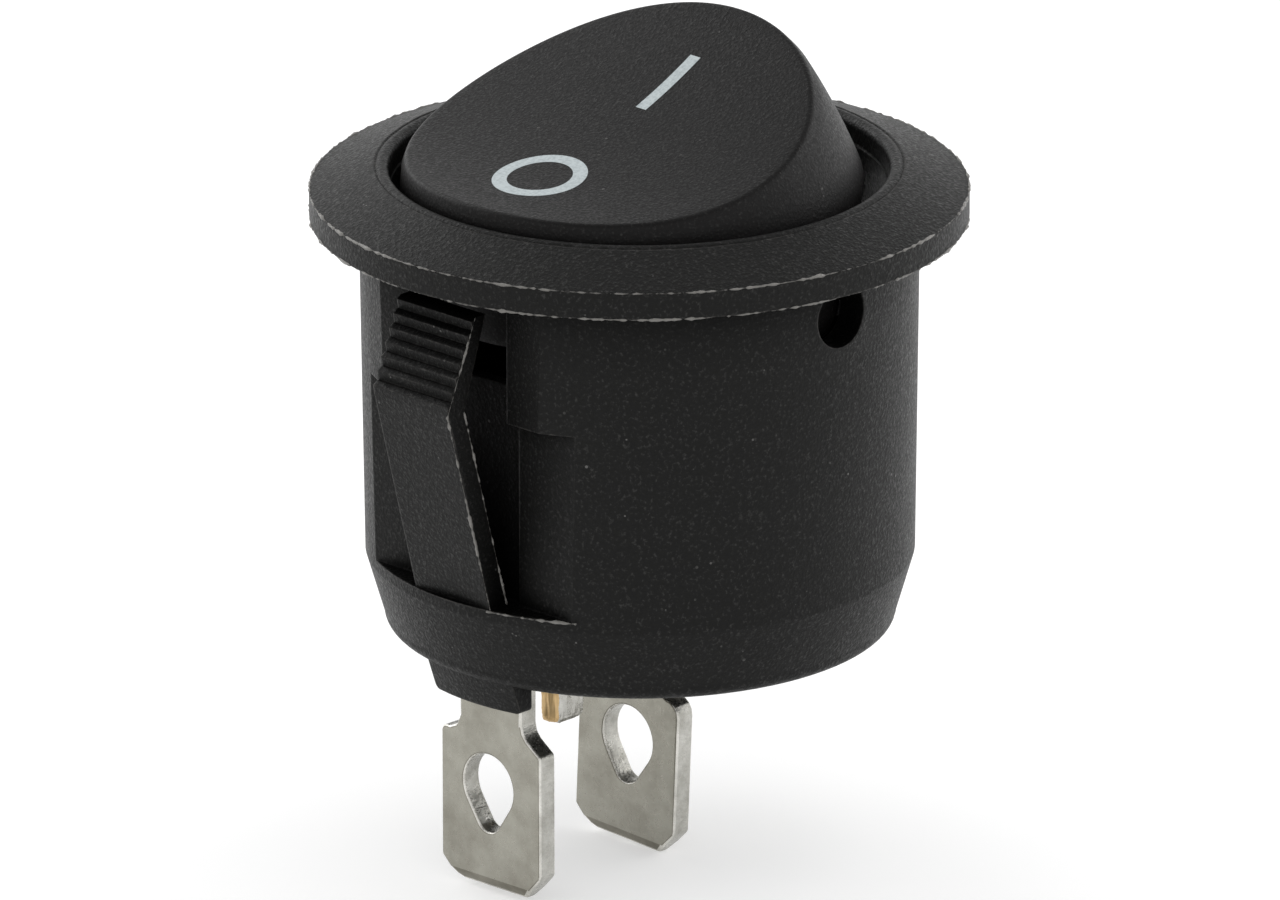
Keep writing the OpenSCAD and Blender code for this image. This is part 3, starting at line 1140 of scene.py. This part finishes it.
@dataclass
class TabTerminal:
    """A tinned brass terminal with coined edges and sheared walls."""

    node: str
    name: str
    coin: float = 0.12 * MM
    below: float = -14.0 * MM
    neck_top: float = -13.4 * MM
    floor: float = -13.8 * MM
    shown: float = -15.2 * MM
    twisted: bool = False
    lug_from: float = -5.5 * MM
    lug_x: float = -3.94 * MM
    drawn_in: float = 0.6
    sharp: float = math.radians(28)
    sheared_to: float = 0.3
    coined_to: float = 0.88
    shaded_bevel_to: float = 0.97
    body: str = "body"

    def hide_lug(self, obj: bpy.types.Object) -> None:
        """Draws the plain lug in, so that the twisted one covers it.

        Args:
            obj: the copy of the terminal.
        """
        for v in obj.data.vertices:
            if v.co.x > self.lug_from and v.co.z < self.floor:
                v.co.x = self.lug_x + self.drawn_in * (v.co.x - self.lug_x)
                v.co.y *= self.drawn_in

    def coin_edges(self, obj: bpy.types.Object) -> None:
        """Rounds the sharp edges of the tab and its neck.

        Args:
            obj: the copy of the terminal.
        """
        weights = obj.data.attributes.new("bevel_weight_edge", "FLOAT", "EDGE")
        shape = bmesh.new()
        shape.from_mesh(obj.data)
        for edge in shape.edges:
            heights = [v.co.z for v in edge.verts]
            lug = min(v.co.x for v in edge.verts) > self.lug_from
            tab = min(heights) < self.shown and max(heights) < self.neck_top
            if tab and not lug and edge.calc_face_angle(0.0) > self.sharp:
                weights.data[edge.index].value = 1.0
        shape.free()
        modify(
            obj,
            "BEVEL",
            width=self.coin,
            segments=6,
            limit_method="WEIGHT",
            use_clamp_overlap=False,
        )

    def build(
        self,
        tin: bpy.types.Material,
        sheared: bpy.types.Material,
        burnished_and_highlit: bpy.types.Material,
        worn: bpy.types.Material,
    ) -> None:
        """Rounds the edges and dresses the faces, the edges and the sheared walls.

        Args:
            tin: finish of the rolled faces.
            sheared: finish of the walls left by the punch.
            burnished_and_highlit: finish of the coined edges.
            worn: finish of the lead-in bevel at the end.
        """
        obj = copy_of_node(self.node, self.name)
        if self.twisted:
            self.hide_lug(obj)
        self.coin_edges(obj)
        smooth(obj, degrees=20)
        modify(obj, "WEIGHTED_NORMAL", mode="FACE_AREA", weight=100, keep_sharp=True)
        dress(obj, tin)
        first = len(obj.data.materials)
        # by how squarely a face looks along the strip's thickness; the walls and coined
        # edges get paler finishes as painted light and the lead-in bevel a darker one
        # as painted shade
        turned = (
            (sheared, self.sheared_to),
            (burnished_and_highlit, self.coined_to),
            (worn, self.shaded_bevel_to),
        )
        for material, _ in turned:
            obj.data.materials.append(material)
        for face in obj.data.polygons:
            if face.center.z > self.below:
                continue
            for place, (_, limit) in enumerate(turned):
                if abs(face.normal.x) < limit:
                    face.material_index = first + place
                    break
        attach(obj, self.body)
        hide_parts(self.node)
        log.info("%s built", self.name)


@dataclass
class TwistedLug:
    """The fixed terminal's lug, twisted a quarter turn under the floor to lock it.

    Its sheared end shows bare brass, and the twist has crumpled its plated sides.
    """

    x: float = -3.95 * MM
    length: float = 1.56 * MM
    thick: float = 0.86 * MM
    top: float = -14.2 * MM
    bottom: float = -17.7 * MM
    corner: float = 0.3 * MM
    crease: float = 0.28 * MM
    crease_depth: float = 0.16 * MM
    bare_depth: float = 0.2 * MM
    body: str = "body"

    def build(self, tin: bpy.types.Material, brass: bpy.types.Material) -> None:
        """Builds the lug over its plain CAD shape.

        Args:
            tin: finish of its crumpled sides.
            brass: finish of its sheared end.
        """
        high = self.top - self.bottom
        size = (self.length, self.thick, high)
        obj = block("twisted_lug", size, (self.x, 0, self.bottom + high / 2))
        round_edges(obj, self.corner, segments=4)
        with editing(obj):
            bpy.ops.mesh.subdivide(number_cuts=12)
        crumple(obj, self.crease, self.crease_depth)
        smooth(obj, degrees=50)
        dress(obj, tin)
        obj.data.materials.append(brass)
        face_x = self.x - self.length / 2 + self.bare_depth
        for face in obj.data.polygons:
            if face.center.x < face_x:
                face.material_index = 1
        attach(obj, self.body)
        log.info("lug built")


# -------------------------------- studio


@dataclass
class Studio:
    """Plain floor, soft light and the camera."""

    azimuth: float = -46.0
    elevation: float = 19.3
    roll: float = -0.15
    aim_z: float = -8.77 * MM
    field_width: float = 44.66 * MM
    distance: float = 1.2
    sensor_mm: float = 36.0
    floor_z: float = -23.3 * MM
    floor_size: float = 8.0
    level: float = 0.8
    ceiling: float = 0.2
    lamp_distance: float = 0.3

    def camera(self) -> None:
        """Makes the camera, a long lens that looks at a point on the switch's axis."""
        a, e, t = (math.radians(v) for v in (self.azimuth, self.elevation, self.roll))
        right = Vector((math.cos(a), math.sin(a), 0))
        up = Vector(
            (-math.sin(e) * math.sin(a), math.sin(e) * math.cos(a), math.cos(e))
        )
        back = right.cross(up)
        across = math.cos(t) * right + math.sin(t) * up
        raised = -math.sin(t) * right + math.cos(t) * up
        data = bpy.data.cameras.new("camera")
        data.sensor_width = self.sensor_mm
        data.lens = self.distance * self.sensor_mm / self.field_width
        data.clip_start = 0.01
        data.clip_end = 10
        obj = bpy.data.objects.new("camera", data)
        bpy.context.collection.objects.link(obj)
        place = Matrix((across, raised, back)).transposed().to_4x4()
        place.translation = Vector((0, 0, self.aim_z)) + back * self.distance
        obj.matrix_world = place
        bpy.context.scene.camera = obj

    def lamp(
        self, name: str, turn: float, elevation: float, size: float, power: float
    ) -> None:
        """Adds one square soft box that faces the switch.

        Args:
            name: its name.
            turn: its bearing from the camera's, in degrees, positive to the right.
            elevation: its height above the horizon, in degrees.
            size: its side.
            power: its power, in watts.
        """
        a, e = math.radians(self.azimuth + turn), math.radians(elevation)
        way = Vector(
            (math.sin(a) * math.cos(e), -math.cos(a) * math.cos(e), math.sin(e))
        )
        data = bpy.data.lights.new(name, "AREA")
        data.shape = "SQUARE"
        data.size = size
        data.energy = power
        obj = bpy.data.objects.new(name, data)
        bpy.context.collection.objects.link(obj)
        obj.visible_camera = False
        obj.location = Vector((0, 0, self.aim_z)) + way * self.lamp_distance
        obj.rotation_euler = way.to_track_quat("Z", "Y").to_euler()

    def light(self) -> None:
        """Lights the switch: an even room, dim above in reflections, and soft boxes."""
        world = bpy.data.worlds.new("pale_room")
        bpy.context.scene.world = world
        world.use_nodes = True
        world.node_tree.nodes.clear()
        add = partial(add_node, world.node_tree)
        path = add("LightPath")
        way = add("SeparateXYZ", inputs={0: add("TexCoord").outputs["Generated"]})
        # in reflections the walls are white, and the ceiling above 35 degrees is dim
        fall = add(
            "MapRange",
            {"interpolation_type": "SMOOTHSTEP"},
            {
                "Value": way.outputs["Z"],
                "From Min": 0.52,
                "From Max": 0.92,
                "To Min": 1.0,
                "To Max": self.ceiling,
            },
        )
        shown = add(
            "Math",
            {"operation": "MAXIMUM"},
            {0: path.outputs["Is Glossy Ray"], 1: path.outputs["Is Transmission Ray"]},
        )
        room, walls, white = (
            add("Background", inputs={"Color": WHITE, "Strength": strength})
            for strength in (self.level, fall, 1.0)
        )
        mixed = add("MixShader", inputs={0: shown, 1: room, 2: walls})
        mixed = add(
            "MixShader", inputs={0: path.outputs["Is Camera Ray"], 1: mixed, 2: white}
        )
        add("OutputWorld", inputs={"Surface": mixed})
        self.lamp("box_behind_left", turn=-130, elevation=32, size=0.22, power=0.25)
        self.lamp("box_right", turn=110, elevation=30, size=0.22, power=0.2)
        self.lamp("box_overhead", turn=180, elevation=80, size=0.25, power=0.06)

    def floor(self, paper: bpy.types.Material) -> None:
        """Lays the seamless paper under the tabs.

        Args:
            paper: its finish.
        """
        bpy.ops.object.select_all(action="DESELECT")
        bpy.ops.mesh.primitive_plane_add(
            size=self.floor_size, location=(0, 0, self.floor_z)
        )
        obj = settle(named(bpy.context.object, "studio_floor"))
        dress(obj, paper)

    def build(self) -> None:
        """Sets up camera, light and floor."""
        self.camera()
        self.light()
        self.floor(StudioPaper().build())
        bpy.context.scene.view_settings.view_transform = "Standard"
        log.info("studio ready")


# -------------------------------- the switch


@dataclass
class RockerSwitch:
    """The whole switch, sub-assembly by sub-assembly."""

    def moulded(self) -> None:
        """Dresses the housing, and builds the rocker with its marks and the flash."""
        # glass-filled black nylon: near black with sparkling eroded grain and dust,
        # painted shade in its slots and a pale edge line that is partly painted
        # highlight
        housing = MouldedPlastic("black_nylon_housing").build()
        # black ABS: a little finer and cleaner than the housing
        rocker_finish = MouldedPlastic(
            "black_abs_rocker",
            colour="#100f0f",
            grain_mm=0.11,
            grain_depth_mm=0.022,
            dust=0.3,
            wear_and_highlight=0.12,
            edge_mm=0.05,
        ).build()
        # thin nylon squeezed into a parting line: glossy, and painted pale as a painted
        # highlight along the edges
        flash = MouldedPlastic(
            "nylon_flash_painted_highlight",
            colour="#7f7d79",
            dusty="#c4c2be",
            roughness=0.3,
            dust=1.0,
            specular=0.5,
            painted_recess_shade="#6b6966",
        ).build()
        dress(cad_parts["housing"], housing)
        log.info("housing dressed")
        HousingFlash().build(flash)
        rocker = Rocker()
        rocker.build(rocker_finish)
        ink = PadPrint().build()
        for mark in Mark:
            PrintedMark(mark, rocker).build(ink)

    def metal(self) -> None:
        """Builds the terminals and dresses the contacts and the spring."""
        # hot-tinned brass strip: soft grey mirror with cloudy dull patches
        tin = PlatedStrip("tin_plate", "#a5a399", "#8f8c82", roughness=0.28).build()
        # punched wall tinned over: torn columns across the strip that glitter, and
        # painted paler than the face as painted light on the walls
        sheared = PlatedStrip(
            "sheared_tinned_wall_painted_light",
            "#c6c5bf",
            "#94928a",
            roughness=0.26,
            streak_mm=0.12,
            depth_mm=0.035,
            along=(0.2, 1.0, 1.0),
        ).build()
        # coined edge: pressed smooth, and painted paler than the face as a painted
        # highlight band along the tab
        burnished_and_highlit = PlatedStrip(
            "coined_tinned_edge_painted_highlight", "#e3e1db", "#a9a79f", roughness=0.24, depth_mm=0.04
        ).build()
        # milled lead-in: a little rougher than the face, and painted darker as painted
        # shade on the bevel
        worn = PlatedStrip(
            "lead_in_bevel_painted_shade", "#8a877d", "#6d6a60", roughness=0.36
        ).build()
        # tin over a twisted lug: creased, with small hard highlights
        crumpled = PlatedStrip(
            "crumpled_tin_plate", "#cfcec9", "#a3a19a", roughness=0.22, depth_mm=0.03
        ).build()
        # brass cut after plating: bare, matt and sandy
        bare = PlatedStrip(
            "sheared_brass", "#e0c495", "#cfae7c", roughness=0.5, depth_mm=0.02
        ).build()
        # cold-rolled brass of the seesaw: even yellow satin
        brass = PlatedStrip("rolled_brass", "#c9a35e", "#b08a4a", roughness=0.3).build()
        # headed silver rivet: the palest metal, lightly tarnished
        silver = PlatedStrip(
            "silver_alloy", "#d8d8d4", "#bdbdb8", roughness=0.3
        ).build()
        # hard-drawn steel wire: cool grey with fine drawn lines
        wire = PlatedStrip(
            "drawn_spring_wire", "#a9abad", "#8f9193", roughness=0.3
        ).build()
        TabTerminal("fixed_terminal", "load_tab", twisted=True).build(
            tin, sheared, burnished_and_highlit, worn
        )
        TabTerminal("common_terminal", "common_tab", lug_from=1.5 * MM).build(
            tin, sheared, burnished_and_highlit, worn
        )
        TwistedLug().build(crumpled, bare)
        for node, finish in {
            "plunger_spring": wire,
            "seesaw": brass,
            "moving_contact": silver,
            "fixed_contact": silver,
        }.items():
            dress(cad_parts[node], finish)
            log.info("%s dressed", node)

    def plunger(self) -> None:
        """Dresses the plunger."""
        # unfilled acetal: smooth, waxy and off-white, with painted shade in its
        # recesses and a paler edge line that is partly painted highlight
        acetal = MouldedPlastic(
            "natural_acetal",
            colour="#dedcd2",
            dusty="#c4c2b8",
            worn="#ebeae4",
            roughness=0.4,
            grain_depth_mm=0.006,
            dust=0.2,
            painted_recess_shade="#8f8d84",
        ).build()
        dress(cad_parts["plunger"], acetal)
        log.info("plunger dressed")


def main() -> None:
    """Builds the studio and the switch."""
    logging.basicConfig(level=logging.INFO, format="%(message)s")
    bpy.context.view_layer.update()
    Studio().build()
    switch = RockerSwitch()
    switch.moulded()
    switch.metal()
    switch.plunger()
    log.info("boxes written")


if __name__ == "__main__":
    main()
